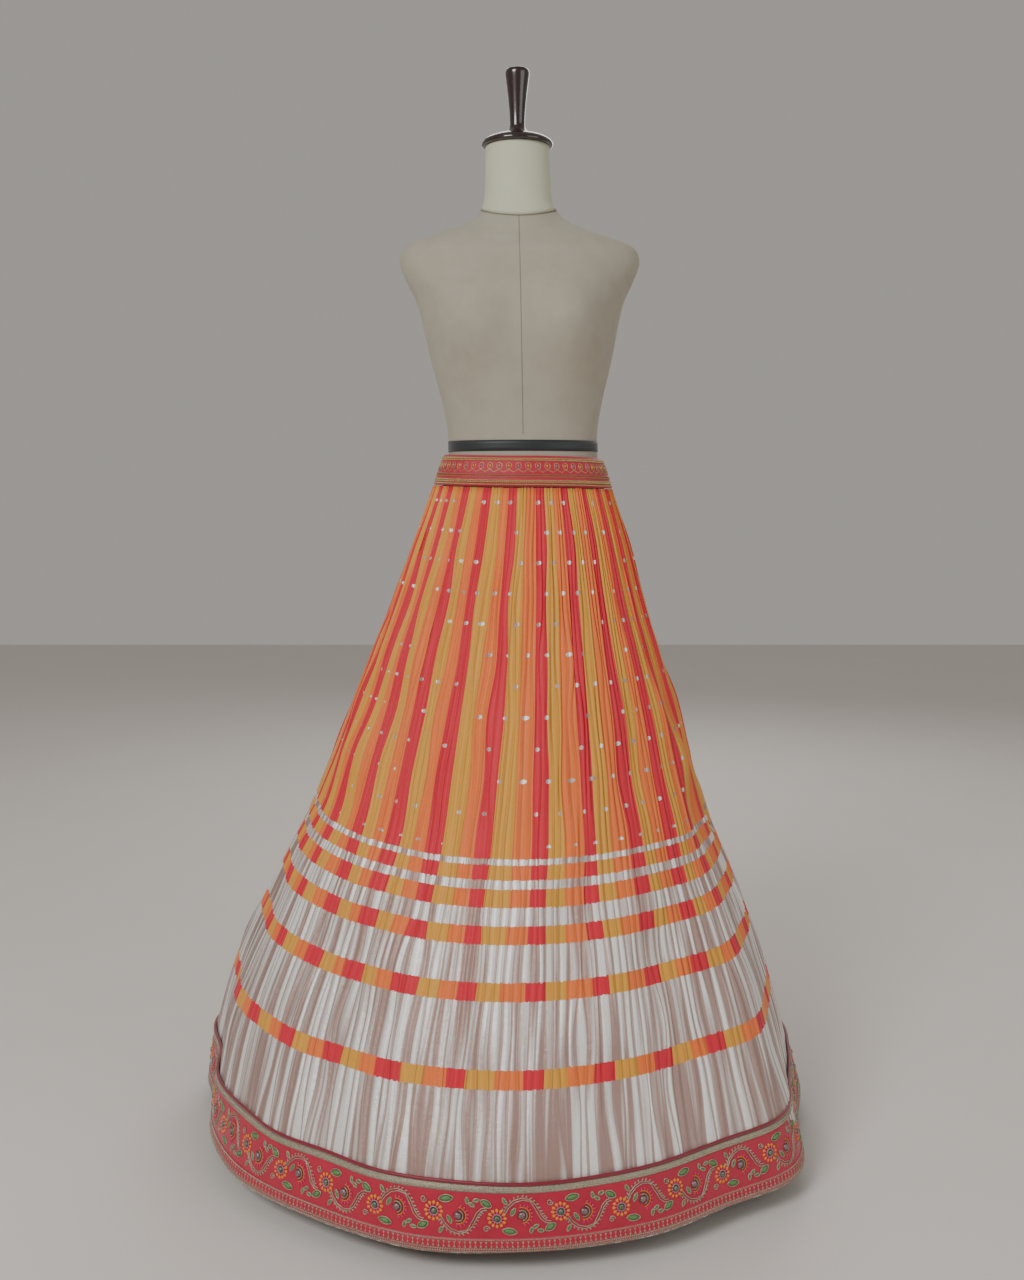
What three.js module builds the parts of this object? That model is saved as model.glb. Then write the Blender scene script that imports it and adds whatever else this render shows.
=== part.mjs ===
// A gathered lehenga skirt on the limbless dress form that it is shown on.
// Millimetres, +Z up. The skirt's front faces -Y and +X is the wearer's left.
// The origin is the centre of the stand's underside, on the floor.
import * as THREE from "three";

// ---------------------------------------------------------------- driving dimensions
const CLOTH = 1.2; // wall of the skirt's brocade with its net backing
const SEAM_GAP = 0.35; // between pieces that are sewn edge to edge or on top of each other
const PLEATS = 48; // the larger knife pleats round the skirt
const PLEAT_FACE = 0.8; // share of a pleat that is its broad face
const SIDE_TRIM = (0.7 * SEAM_GAP) / (2 * Math.PI); // cut off at each side seam, in turns times mm
const ROUNDING = 1e-6; // keeps a column on its pleat's own side of a whole number
const HEM_TWIST = THREE.MathUtils.degToRad(-3); // the stripes lean this much by the hem
const FRONT_SPREAD = 0.14; // how much wider the gathers stand at the front of the waist

const PIPING_AT = 957; // along the cloth, where the border's piping is sewn
const PIPING_WIDTH = 5;
const PIPING_THICK = 3.4;
const BORDER_WIDTH = 87;
const BORDER_THICK = 1.4;
const UPPER_LACE_WIDTH = 9;
const LOWER_LACE_WIDTH = 19;
const LACE_THICK = 1.2;

const WAISTBAND_THICK = 2.4;
const WAISTBAND_HEIGHT = 46;
const WAIST_TRIM_HEIGHT = 43;
const WAIST_TRIM_THICK = 1.3;
const WAIST_COLUMNS = 48;
const WAIST_OPENING = 0.0014; // half the gap between the waistband's ends, radians

const FORM_COLUMNS = 48;
const NECK = { foot: 1429, top: 1515, dip: 24, dipFrom: 1358 }; // its seam dips at the front
const LEAN = { from: 1060, at: NECK.top, by: -9 }; // the form stands a little out of true
const BUST = { apart: 84, height: 1248, width: 58, tall: 66, out: 36 };
const TAPE = { low: 1060.5, high: 1076.5, thick: 1, halfGap: 0.002 }; // gap in radians
const POLE_RADIUS = 14;
const POLE_FOOT = 30;
const BASE_RADIUS = 210;

// The skirt ring by ring, from the waistband's lower edge to the hem. "along" is measured on
// the cloth; the lifts are how much higher a ring stands at the left and right than in front.
const SKIRT_RINGS = [
  { along: 0, height: 1006, width: 138, front: 99, back: 103, shift: 0, left: 3, right: -3 },
  { along: 60, height: 949, width: 157, front: 117, back: 122, shift: -1, left: 5, right: -2 },
  { along: 201, height: 815, width: 200, front: 162, back: 169, shift: -6, left: 10, right: 1 },
  { along: 383, height: 646, width: 259, front: 228, back: 237, shift: -12, left: 16, right: 4 },
  { along: 550, height: 494, width: 310, front: 297, back: 304, shift: -19, left: 20, right: 6 },
  { along: 694, height: 363, width: 371, front: 357, back: 362, shift: -26, left: 15, right: 6 },
  { along: 819, height: 250, width: 420, front: 410, back: 414, shift: -33, left: 6, right: 3 },
  { along: 957, height: 125, width: 456, front: 466, back: 464, shift: -34, left: 0, right: 0 },
  { along: 1049, height: 34, width: 474, front: 474, back: 474, shift: -30, left: 0, right: 0 },
];
const SKIRT_LENGTH = SKIRT_RINGS[SKIRT_RINGS.length - 1].along;
const SHOULDER = 892; // one more ring, where the skirt rounds over to its border

// The flutes of the lower skirt: degrees round from the front towards the wearer's left,
// half-width in degrees, and how far each stands out (or in) at the piping and at the hem.
const FLUTES = [
  { at: -122, half: 9, piping: -12, hem: -16 },
  { at: -96, half: 9, piping: 19, hem: 19 },
  { at: -80, half: 7, piping: -10, hem: -10 },
  { at: -53, half: 10, piping: -8, hem: 7 },
  { at: -32, half: 10, piping: -14, hem: -3 },
  { at: -12, half: 8, piping: -2, hem: 5 },
  { at: 6, half: 8, piping: 3, hem: 0 },
  { at: 27, half: 8, piping: 2, hem: 4 },
  { at: 55, half: 11, piping: 31, hem: 36 },
  { at: 74, half: 6, piping: 2, hem: -4 },
  { at: 92, half: 8, piping: 6, hem: 10 },
  { at: 112, half: 9, piping: -12, hem: -14 },
  { at: 134, half: 9, piping: 15, hem: 17 },
  { at: 155, half: 8, piping: -13, hem: -15 },
  { at: 178, half: 9, piping: 16, hem: 19 },
  { at: 200, half: 8, piping: -12, hem: -14 },
  { at: 219, half: 8, piping: 12, hem: 15 },
];

// Height of the larger pleats, along the cloth.
const PLEAT_DEPTHS = [
  { along: 0, depth: 3 },
  { along: 201, depth: 4.6 },
  { along: 819, depth: 7 },
  { along: 940, depth: 0 },
  { along: 1049, depth: 0 },
];

// The dress form's body ring by ring: half-width, and depth before and behind its axis.
const FORM_RINGS = [
  { height: 770, width: 150, front: 96, back: 104 },
  { height: 776, width: 160, front: 104, back: 112 },
  { height: 800, width: 168, front: 108, back: 118 },
  { height: 860, width: 171, front: 111, back: 124 },
  { height: 920, width: 160, front: 107, back: 116 },
  { height: 970, width: 137, front: 96, back: 101 },
  { height: 1009, width: 124.5, front: 89.5, back: 91.5 },
  { height: 1052, width: 115.5, front: 86, back: 87.5 },
  { height: TAPE.low, width: 114.5, front: 85.2, back: 86.6 },
  { height: TAPE.high, width: 114.5, front: 85.2, back: 86.4 },
  { height: 1100, width: 116.5, front: 88, back: 88 },
  { height: 1140, width: 124, front: 95, back: 91 },
  { height: 1180, width: 134, front: 102, back: 93 },
  { height: 1215, width: 142, front: 106, back: 94 },
  { height: 1250, width: 149, front: 107, back: 95 },
  { height: 1285, width: 158, front: 105, back: 98 },
  { height: 1315, width: 172, front: 98, back: 101 },
  { height: 1340, width: 182, front: 88, back: 100 },
  { height: 1358, width: 180, front: 80, back: 95 },
  { height: 1372, width: 169, front: 74, back: 88 },
  { height: 1384, width: 144, front: 70, back: 81 },
  { height: 1394, width: 118, front: 66, back: 74 },
  { height: 1406, width: 89, front: 61, back: 67 },
  { height: 1418, width: 67, front: 57, back: 60 },
  { height: NECK.foot, width: 57, front: 53, back: 55 },
];

const NECK_RINGS = [
  { height: NECK.foot + SEAM_GAP, width: 57, front: 53, back: 55 },
  { height: 1442, width: 52, front: 50, back: 51 },
  { height: 1474, width: 49.5, front: 48.5, back: 49 },
  { height: NECK.top, width: 48, front: 47.5, back: 47.5 },
];

// ---------------------------------------------------------------- interpolation
// The value of a table's column at a place, on a smooth curve through its rows.
function along(table, key, column, at) {
  const last = table.length - 1;
  let i = 0;
  while (i < last - 1 && at > table[i + 1][key]) i += 1;
  const slope = (n) => {
    const a = table[Math.max(n - 1, 0)];
    const b = table[Math.min(n + 1, last)];
    return (b[column] - a[column]) / (b[key] - a[key]);
  };
  const span = table[i + 1][key] - table[i][key];
  const t = THREE.MathUtils.clamp((at - table[i][key]) / span, 0, 1);
  const rise = t * t * (3 - 2 * t);
  return (
    table[i][column] * (1 - rise) +
    table[i + 1][column] * rise +
    span * (t * (1 - t) ** 2 * slope(i) - t * t * (1 - t) * slope(i + 1))
  );
}

// ---------------------------------------------------------------- the skirt's cloth
// How far the flutes stand out, for a direction in radians and a place on the cloth.
function fluteOut(turn, at) {
  const upper = Math.max(at / PIPING_AT, 0) ** 2.2;
  const lower = Math.max(at - PIPING_AT, 0) / (SKIRT_LENGTH - PIPING_AT);
  let out = 0;
  for (const flute of FLUTES) {
    const away = THREE.MathUtils.radToDeg(turn) - flute.at + 180;
    const off = THREE.MathUtils.euclideanModulo(away, 360) - 180;
    const reach = THREE.MathUtils.lerp(flute.piping * Math.min(upper, 1), flute.hem, lower);
    out += reach * Math.exp(-((off / flute.half) ** 2));
  }
  return out;
}

// How much higher a ring stands at a side than in front; "side" is the sine of the direction.
const sideLift = (ring, side) => side * side * (side < 0 ? ring.left : ring.right);

// A point of the cloth without its pleats: "round" counts turns from the front centre line.
function skirtSurface(round, at) {
  const ring = (column) => along(SKIRT_RINGS, "along", column, at);
  const share = at / SKIRT_LENGTH;
  const even = 2 * Math.PI * round;
  const gathered = FRONT_SPREAD * Math.sin(2 * even) * Math.max(1 - share, 0) ** 1.5;
  const turn = even + gathered + HEM_TWIST * share;
  const side = Math.sin(turn);
  const ahead = Math.cos(turn);
  const depth = ahead > 0 ? ring("front") : ring("back");
  const out = fluteOut(turn, at);
  const lift = sideLift({ left: ring("left"), right: ring("right") }, side);
  return new THREE.Vector3(
    ring("shift") + (ring("width") + out) * side,
    -(depth + out) * ahead,
    ring("height") + lift,
  );
}

// The outward normal of that surface.
function skirtNormal(round, at) {
  const step = 1e-3; // of a turn
  const across = skirtSurface(round + step, at).sub(skirtSurface(round - step, at));
  const down = skirtSurface(round, at + 1).sub(skirtSurface(round, at - 1));
  return down.cross(across).normalize();
}

// The pleats' height at a place round the skirt, from -0.5 in a valley to 0.5 on a crest.
function pleatWave(round) {
  const phase = THREE.MathUtils.euclideanModulo(round * PLEATS + ROUNDING, 1);
  if (phase < PLEAT_FACE) return phase / PLEAT_FACE - 0.5;
  return (1 - phase) / (1 - PLEAT_FACE) - 0.5;
}

// A point at a height above the cloth's outer face, with or without the larger pleats.
function clothPoint(round, at, above, pleated) {
  const depth = pleated ? Math.max(along(PLEAT_DEPTHS, "along", "depth", at), 0) : 0;
  const height = above + pleatWave(round) * depth;
  return skirtSurface(round, at).addScaledVector(skirtNormal(round, at), height);
}

// The columns of cloth between two places round the skirt: a valley and a crest to each pleat.
function pleatColumns(from, to) {
  const columns = [];
  for (let i = Math.round(from * PLEATS); i < Math.round(to * PLEATS); i += 1) {
    columns.push(i / PLEATS, (i + PLEAT_FACE) / PLEATS);
  }
  return [...columns, to];
}

// A closed wall between an outer and an inner grid of points, [column][row], both open-ended.
function wall(outer, inner) {
  const rows = outer[0].length;
  const points = [...outer.flat(), ...inner.flat()];
  const half = outer.length * rows;
  const out = (c, r) => c * rows + r;
  const into = (c, r) => half + c * rows + r;
  const index = [];
  const quad = (a, b, c, d) => index.push(a, b, c, a, c, d);
  for (let c = 0; c < outer.length - 1; c += 1) {
    for (let r = 0; r < rows - 1; r += 1) {
      quad(out(c, r), out(c, r + 1), out(c + 1, r + 1), out(c + 1, r));
      quad(into(c, r), into(c + 1, r), into(c + 1, r + 1), into(c, r + 1));
    }
    quad(out(c, 0), out(c + 1, 0), into(c + 1, 0), into(c, 0));
    quad(out(c, rows - 1), into(c, rows - 1), into(c + 1, rows - 1), out(c + 1, rows - 1));
  }
  const end = outer.length - 1;
  for (let r = 0; r < rows - 1; r += 1) {
    quad(out(0, r), into(0, r), into(0, r + 1), out(0, r + 1));
    quad(out(end, r), out(end, r + 1), into(end, r + 1), into(end, r));
  }
  return solid(points, index);
}

function solid(points, index) {
  return new THREE.BufferGeometry()
    .setAttribute("position", new THREE.Float32BufferAttribute(points.flatMap((p) => p.toArray()), 3))
    .setIndex(index);
}

// A strip of cloth between two places round and several stations down, lying "above" the
// skirt's outer face. Its two ends stop short of the seam.
function clothStrip({ from, to, stations, above, thick, pleated = false }) {
  const columns = pleatColumns(from, to);
  const grid = (height) =>
    columns.map((round, c) =>
      stations.map((at) => {
        const trim = SIDE_TRIM / along(SKIRT_RINGS, "along", "front", at);
        const ends = c === 0 ? trim : c === columns.length - 1 ? -trim : 0;
        return clothPoint(round + ends, at, height, pleated);
      }),
    );
  return wall(grid(above + thick), grid(above));
}

// ---------------------------------------------------------------- rings round the form
// A point of a ring, half-width and depths given, in a direction in radians from the front.
function ringPoint(ring, turn, grow = 0) {
  const ahead = Math.cos(turn);
  const depth = ahead > 0 ? ring.front : ring.back;
  return new THREE.Vector3(
    (ring.width + grow) * Math.sin(turn),
    -(depth + grow) * ahead,
    ring.height,
  );
}

function turns(count, from = 0, to = 2 * Math.PI) {
  return Array.from({ length: count + 1 }, (_, i) => from + ((to - from) * i) / count);
}

// A closed body through rings of equal columns, with a fan at its foot and its top.
function stack(rings) {
  const columns = rings[0].length;
  const points = rings.flat();
  const index = [];
  const at = (r, c) => r * columns + (c % columns);
  for (let r = 0; r < rings.length - 1; r += 1) {
    for (let c = 0; c < columns; c += 1) {
      index.push(at(r, c), at(r, c + 1), at(r + 1, c + 1));
      index.push(at(r, c), at(r + 1, c + 1), at(r + 1, c));
    }
  }
  const middle = (ring) =>
    ring.reduce((sum, p) => sum.add(p), new THREE.Vector3()).divideScalar(columns);
  const foot = points.push(middle(rings[0])) - 1;
  const top = points.push(middle(rings[rings.length - 1])) - 1;
  for (let c = 0; c < columns; c += 1) {
    index.push(foot, at(0, c + 1), at(0, c));
    index.push(top, at(rings.length - 1, c), at(rings.length - 1, c + 1));
  }
  return solid(points, index);
}

// ---------------------------------------------------------------- the dress form
// The neck seam dips at the front, and the shoulders below follow it.
function dipped(point, turn) {
  const share = (point.z - NECK.dipFrom) / (NECK.foot - NECK.dipFrom);
  const front = ((1 + Math.cos(turn)) / 2) ** 2;
  point.z -= NECK.dip * front * THREE.MathUtils.clamp(share, 0, 1);
  return point;
}

// The sideways offset of the form at a height, and a point moved by it.
const leanAt = (height) => (LEAN.by * Math.max(height - LEAN.from, 0)) / (LEAN.at - LEAN.from);
const leaned = (point) => point.setX(point.x + leanAt(point.z));

// A point of the form's body: its ring, its soft bust and the dip under the neck.
function formPoint(ring, turn, grow = 0) {
  const point = ringPoint(ring, turn, grow);
  if (Math.cos(turn) > 0) {
    for (const middle of [-BUST.apart, BUST.apart]) {
      const across = (point.x - middle) / BUST.width;
      const up = (point.z - BUST.height) / BUST.tall;
      point.y -= BUST.out * Math.exp(-across * across - up * up) * Math.cos(turn) ** 0.5;
    }
  }
  return leaned(dipped(point, turn));
}

const formTurns = turns(FORM_COLUMNS).slice(0, -1);

function formBody() {
  return stack(FORM_RINGS.map((ring) => formTurns.map((turn) => formPoint(ring, turn))));
}

function formNeck() {
  return stack(
    NECK_RINGS.map((ring, i) =>
      formTurns.map((turn) => {
        const point = ringPoint(ring, turn);
        return leaned(i === 0 ? dipped(point, turn) : point);
      }),
    ),
  );
}

// The tape lies on the body's own facets, moved out, and its ends meet at the back.
function waistTape() {
  const rings = FORM_RINGS.filter((ring) => ring.height === TAPE.low || ring.height === TAPE.high);
  const around = turns(FORM_COLUMNS, -Math.PI, Math.PI);
  const grid = (grow) =>
    around.map((turn, c) => {
      const end = c === 0 ? TAPE.halfGap : c === FORM_COLUMNS ? -TAPE.halfGap : 0;
      return [...rings].reverse().map((ring) => formPoint(ring, turn + end, grow));
    });
  return wall(grid(SEAM_GAP + TAPE.thick), grid(SEAM_GAP));
}

const lathe = (profile, sides) => {
  const points = profile.map(([radius, height]) => new THREE.Vector2(radius, height));
  return new THREE.LatheGeometry(points, sides).rotateX(Math.PI / 2);
};

const neckCap = () =>
  lathe(
    [[0, 0], [52, 0], [54, 2.5], [53.4, 6], [46, 11], [36, 14.5], [24, 17], [0, 17]],
    40,
  ).translate(leanAt(NECK.top), 0, NECK.top + SEAM_GAP);

const HANDLE_FOOT = NECK.top + 17 + 2 * SEAM_GAP;
const handle = () =>
  lathe(
    [
      [0, 0], [22, 0], [17, 3.5], [12.8, 8], [11.3, 14], [11.6, 26], [13.2, 46],
      [16, 70], [18.2, 86], [18, 91], [16, 94], [11, 95.5], [0, 95.5],
    ],
    32,
  ).translate(leanAt(NECK.top), 0, HANDLE_FOOT);

// ---------------------------------------------------------------- the stand, under the skirt
const collar = () =>
  lathe([[14.4, 735], [24, 735], [24, 763], [45, 763], [45, 769.6], [14.4, 769.6], [14.4, 735]], 32);

const pole = () =>
  lathe([[0, POLE_FOOT + 0.4], [POLE_RADIUS, POLE_FOOT + 0.4], [POLE_RADIUS, 769.6], [0, 769.6]], 24);

const base = () =>
  lathe(
    [
      [0, 0], [BASE_RADIUS, 0], [BASE_RADIUS, 8], [200, 12], [40, 16], [24, 20],
      [24, POLE_FOOT], [0, POLE_FOOT],
    ],
    48,
  );

// ---------------------------------------------------------------- the waistband
const WAISTBAND_FOOT = { width: 138.5, front: 100.5, back: 104.5 };
const WAISTBAND_TOP = { width: 122, front: 92, back: 94 };
const WAISTBAND_LOW = SKIRT_RINGS[0].height + SEAM_GAP + PLEAT_DEPTHS[0].depth / 4;

// A band round the waist, open at the wearer's left side where the garment fastens.
function waistRing(low, high, above, thick) {
  const start = Math.PI / 2 + WAIST_OPENING;
  const end = (5 * Math.PI) / 2 - WAIST_OPENING;
  const around = turns(WAIST_COLUMNS, start, end);
  const point = (turn, up, grow) => {
    const share = up / WAISTBAND_HEIGHT;
    const size = (column) => THREE.MathUtils.lerp(WAISTBAND_FOOT[column], WAISTBAND_TOP[column], share);
    const ring = { width: size("width"), front: size("front"), back: size("back"), height: 0 };
    const at = ringPoint(ring, turn, grow);
    at.z = WAISTBAND_LOW + up + sideLift(SKIRT_RINGS[0], Math.sin(turn));
    return at;
  };
  const grid = (grow) => around.map((turn) => [point(turn, high, grow), point(turn, low, grow)]);
  return wall(grid(above + thick), grid(above));
}

// ---------------------------------------------------------------- materials and the model
const finish = (color, roughness, metalness = 0) =>
  new THREE.MeshStandardMaterial({ color, roughness, metalness });

const brocade = finish(0xc8452c, 0.6);
const borderSilk = finish(0xb3122f, 0.6);
const pipingSatin = finish(0x8f0f2c, 0.5);
const silverLace = finish(0xb9b2a0, 0.4, 0.6);
const goldLace = finish(0xb99a66, 0.4, 0.5);
const waistCanvas = finish(0xa81530, 0.7);
const formLinen = finish(0xc9cbb6, 0.8);
const tapeBlack = finish(0x20262a, 0.6);
const darkWood = finish(0x3a1618, 0.25);
const standSteel = finish(0x3c3d40, 0.4, 0.7);

const part = new THREE.Group();
const add = (name, geometry, material) => {
  const mesh = new THREE.Mesh(geometry, material);
  mesh.name = name;
  part.add(mesh);
};

// Where the hem's trims start and end, along the cloth. The panels have rings at those places,
// so that each trim lies flat on the facets under it.
const pipingStart = PIPING_AT - PIPING_WIDTH / 2;
const borderStart = PIPING_AT + PIPING_WIDTH / 2 + SEAM_GAP;
const borderEnd = borderStart + BORDER_WIDTH;
const upperLaceEnd = borderStart + UPPER_LACE_WIDTH;
const lowerLaceStart = borderEnd - LOWER_LACE_WIDTH;
const trimStations = [borderStart, upperLaceEnd, lowerLaceStart, borderEnd];
const drop = SKIRT_RINGS.map((ring) => ring.along).filter((at) => at < pipingStart);
const panelStations = [...drop, SHOULDER, pipingStart, ...trimStations];
const panel = { stations: panelStations, above: -CLOTH, thick: CLOTH, pleated: true };
add("skirt_front", clothStrip({ ...panel, from: -0.25, to: 0.25 }), brocade);
add("skirt_back", clothStrip({ ...panel, from: 0.25, to: 0.75 }), brocade);

// The trims go once round from the wearer's left seam, and their ends meet there.
const hemTrim = (stations, above, thick) => clothStrip({ from: 0.25, to: 1.25, stations, above, thick });
const onBorder = 2 * SEAM_GAP + BORDER_THICK;
add("hem_piping", hemTrim([pipingStart, borderStart - SEAM_GAP], SEAM_GAP, PIPING_THICK), pipingSatin);
add("hem_border", hemTrim(trimStations, SEAM_GAP, BORDER_THICK), borderSilk);
add("hem_lace_upper", hemTrim([borderStart, upperLaceEnd], onBorder, LACE_THICK), silverLace);
add("hem_lace_lower", hemTrim([lowerLaceStart, borderEnd], onBorder, LACE_THICK), silverLace);

add("waistband", waistRing(0, WAISTBAND_HEIGHT, -WAISTBAND_THICK, WAISTBAND_THICK), waistCanvas);
const trimLow = (WAISTBAND_HEIGHT - WAIST_TRIM_HEIGHT) / 2;
add(
  "waist_trim",
  waistRing(trimLow, trimLow + WAIST_TRIM_HEIGHT, SEAM_GAP, WAIST_TRIM_THICK),
  goldLace,
);

add("form_body", formBody(), formLinen);
add("form_neck", formNeck(), formLinen);
add("form_waist_tape", waistTape(), tapeBlack);
add("form_neck_cap", neckCap(), darkWood);
add("form_handle", handle(), darkWood);
add("stand_collar", collar(), standSteel);
add("stand_pole", pole(), standSteel);
add("stand_base", base(), standSteel);

export default part;
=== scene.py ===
"""A gathered lehenga skirt on a limbless dress form: the visual model.

Everything is in metres in the part's own frame: +Z up, the skirt's front faces -Y. Cloth is
placed by two coordinates: turns round the skirt from the front centre line, and metres along
the cloth from the waistband's lower edge.
"""

import logging
import math
from dataclasses import dataclass, field
from enum import Enum
from functools import partial

import bpy
import numpy as np
from mathutils import Matrix, Vector


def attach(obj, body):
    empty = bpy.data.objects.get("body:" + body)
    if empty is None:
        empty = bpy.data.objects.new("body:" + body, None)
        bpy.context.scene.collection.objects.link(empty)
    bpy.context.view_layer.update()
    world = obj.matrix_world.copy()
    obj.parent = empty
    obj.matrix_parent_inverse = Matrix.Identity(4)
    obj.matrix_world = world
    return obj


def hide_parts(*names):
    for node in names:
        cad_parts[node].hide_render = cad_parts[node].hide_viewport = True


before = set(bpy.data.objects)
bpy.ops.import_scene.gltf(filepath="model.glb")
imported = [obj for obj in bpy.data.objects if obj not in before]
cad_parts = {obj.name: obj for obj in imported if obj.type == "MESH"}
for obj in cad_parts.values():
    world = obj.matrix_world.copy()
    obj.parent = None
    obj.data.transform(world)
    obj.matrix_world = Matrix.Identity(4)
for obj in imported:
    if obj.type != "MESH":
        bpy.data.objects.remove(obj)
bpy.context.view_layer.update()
LOG = logging.getLogger("lehenga")
MM = 0.001
BODY = "root"
NOISE, MATH, CHANCE = "ShaderNodeTexNoise", "ShaderNodeMath", "ShaderNodeTexWhiteNoise"
Thing, Material = bpy.types.Object, bpy.types.Material
Socket, Tree = bpy.types.NodeSocket, bpy.types.NodeTree
Looks = dict[str, Material]

# Skirt rings as in the part: along the cloth, height, half-width, front depth, back depth,
# sideways shift, and how much higher the ring stands at the left and at the right (mm).
SKIRT_RINGS = (
    (0, 1006, 138, 99, 103, 0, 3, -3),
    (60, 949, 157, 117, 122, -1, 5, -2),
    (201, 815, 200, 162, 169, -6, 10, 1),
    (383, 646, 259, 228, 237, -12, 16, 4),
    (550, 494, 310, 297, 304, -19, 20, 6),
    (694, 363, 371, 357, 362, -26, 15, 6),
    (819, 250, 420, 410, 414, -33, 6, 3),
    (957, 125, 456, 466, 464, -34, 0, 0),
    (1049, 34, 474, 474, 474, -30, 0, 0),
)
# Flutes: direction and half-width in degrees, reach at the piping and at the hem (mm).
FLUTES = (
    (-122, 9, -12, -16), (-96, 9, 19, 19), (-80, 7, -10, -10), (-53, 10, -8, 7),
    (-32, 10, -14, -3), (-12, 8, -2, 5), (6, 8, 3, 0), (27, 8, 2, 4), (55, 11, 31, 36),
    (74, 6, 2, -4), (92, 8, 6, 10), (112, 9, -12, -14), (134, 9, 15, 17),
    (155, 8, -13, -15), (178, 9, 16, 19), (200, 8, -12, -14), (219, 8, 12, 15),
)
# Form rings: height, half-width, front depth, back depth (mm).
FORM_RINGS = (
    (770, 150, 96, 104), (776, 160, 104, 112), (800, 168, 108, 118), (860, 171, 111, 124),
    (920, 160, 107, 116), (970, 137, 96, 101), (1009, 124.5, 89.5, 91.5),
    (1052, 115.5, 86, 87.5), (1076.5, 114.5, 85.2, 86.4), (1100, 116.5, 88, 88),
    (1140, 124, 95, 91), (1180, 134, 102, 93), (1215, 142, 106, 94), (1250, 149, 107, 95),
    (1285, 158, 105, 98), (1315, 172, 98, 101), (1340, 182, 88, 100), (1358, 180, 80, 95),
    (1372, 169, 74, 88), (1384, 144, 70, 81), (1394, 118, 66, 74), (1406, 89, 61, 67),
    (1418, 67, 57, 60), (1429, 57, 53, 55),
)
NECK_RINGS = (
    (1429.35, 57, 53, 55), (1442, 52, 50, 51), (1474, 49.5, 48.5, 49), (1515, 48, 47.5, 47.5)
)
SKIRT_LENGTH = 1.049
PIPING_AT = 0.957
BORDER_START = 0.95985
PERIODS = 28  # colour repeats of the cloth round the skirt
FINE_PLEATS = 8  # crushed pleats to a colour repeat
STRIPE_PHASE = 0.22  # where the first repeat starts, in repeats from the front centre


def linear(code: str) -> tuple[float, float, float, float]:
    """Turn an sRGB hex colour into linear values.

    Args:
        code: Six hex digits.

    Returns:
        Red, green, blue and an alpha of 1.
    """
    parts = [int(code[i:i + 2], 16) / 255 for i in (0, 2, 4)]
    r, g, b = (c / 12.92 if c <= 0.04045 else ((c + 0.055) / 1.055) ** 2.4 for c in parts)
    return r, g, b, 1.0


def add_node(tree: Tree, kind: str, inputs: dict | None = None, out: int | str = 0,
             stops: list[tuple[float, str]] | None = None,
             **settings: object) -> Socket:
    """Add a node with its settings, values and links.

    Args:
        tree: The node tree.
        kind: The node's type name.
        inputs: Input name or number to a value, or to the socket that feeds it.
        out: Which output to return.
        stops: Position and hex colour of each step, where the node has a colour ramp.
        **settings: Properties of the node.

    Returns:
        The chosen output socket, or the node itself where it has none.
    """
    node = tree.nodes.new(kind)
    for key, value in settings.items():
        setattr(node, key, value)
    for key, value in (inputs or {}).items():
        if isinstance(value, Socket):
            tree.links.new(value, node.inputs[key])
        else:
            node.inputs[key].default_value = value
    if stops:
        node.color_ramp.interpolation = "CONSTANT"
        elements = node.color_ramp.elements
        while len(elements) < len(stops):
            elements.new(1.0)
        for element, (position, code) in zip(elements, stops):
            element.position, element.color = position, linear(code)
    return node.outputs[out] if len(node.outputs) else node


def ring_value(table: np.ndarray, column: int, at: np.ndarray) -> np.ndarray:
    """Read a table's column on a smooth curve through its rows.

    Args:
        table: Rows in ascending order of their first column.
        column: The column to read.
        at: Places in the first column's unit.

    Returns:
        The values.
    """
    keys, values = table[:, 0], table[:, column]
    last = len(keys) - 1
    i = np.clip(np.searchsorted(keys, at) - 1, 0, last - 1)
    ahead = np.minimum(np.arange(last + 1) + 1, last)
    behind = np.maximum(np.arange(last + 1) - 1, 0)
    slope = (values[ahead] - values[behind]) / (keys[ahead] - keys[behind])
    span = keys[i + 1] - keys[i]
    t = np.clip((at - keys[i]) / span, 0, 1)
    rise = t * t * (3 - 2 * t)
    bend = t * (1 - t) ** 2 * slope[i] - t * t * (1 - t) * slope[i + 1]
    return values[i] * (1 - rise) + values[i + 1] * rise + span * bend


def link_mesh(name: str, points: np.ndarray, faces: list, smooth: bool = True) -> Thing:
    """Make a mesh object at the origin.

    Args:
        name: The piece's name.
        points: Its vertices in metres.
        faces: Its faces as tuples of vertex numbers.
        smooth: Whether it is shaded smooth.

    Returns:
        The object.
    """
    mesh = bpy.data.meshes.new(name)
    mesh.from_pydata(np.asarray(points).reshape(-1, 3).tolist(), [], faces)
    mesh.update()
    if smooth:
        mesh.shade_smooth()
    obj = bpy.data.objects.new(name, mesh)
    bpy.context.scene.collection.objects.link(obj)
    return obj


def shell(outer: np.ndarray, inner: np.ndarray) -> tuple[np.ndarray, list]:
    """Close a wall between an outer and an inner grid of points.

    Args:
        outer: Points as [column, row, xyz], rows going down and columns to the left of the row.
        inner: The same grid on the inside.

    Returns:
        The points and the faces.
    """
    columns, rows = outer.shape[:2]
    half, end = columns * rows, (columns - 1) * rows
    faces = []
    for a in range(0, end, rows):
        b = a + rows
        for r in range(rows - 1):
            faces.append((a + r, a + r + 1, b + r + 1, b + r))
            faces.append((half + a + r, half + b + r, half + b + r + 1, half + a + r + 1))
        faces.append((a, b, half + b, half + a))
        faces.append((b - 1, half + b - 1, half + b + rows - 1, b + rows - 1))
    for r in range(rows - 1):
        faces.append((r, half + r, half + r + 1, r + 1))
        faces.append((end + r, end + r + 1, half + end + r + 1, half + end + r))
    return np.concatenate([outer.reshape(-1, 3), inner.reshape(-1, 3)]), faces


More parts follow.
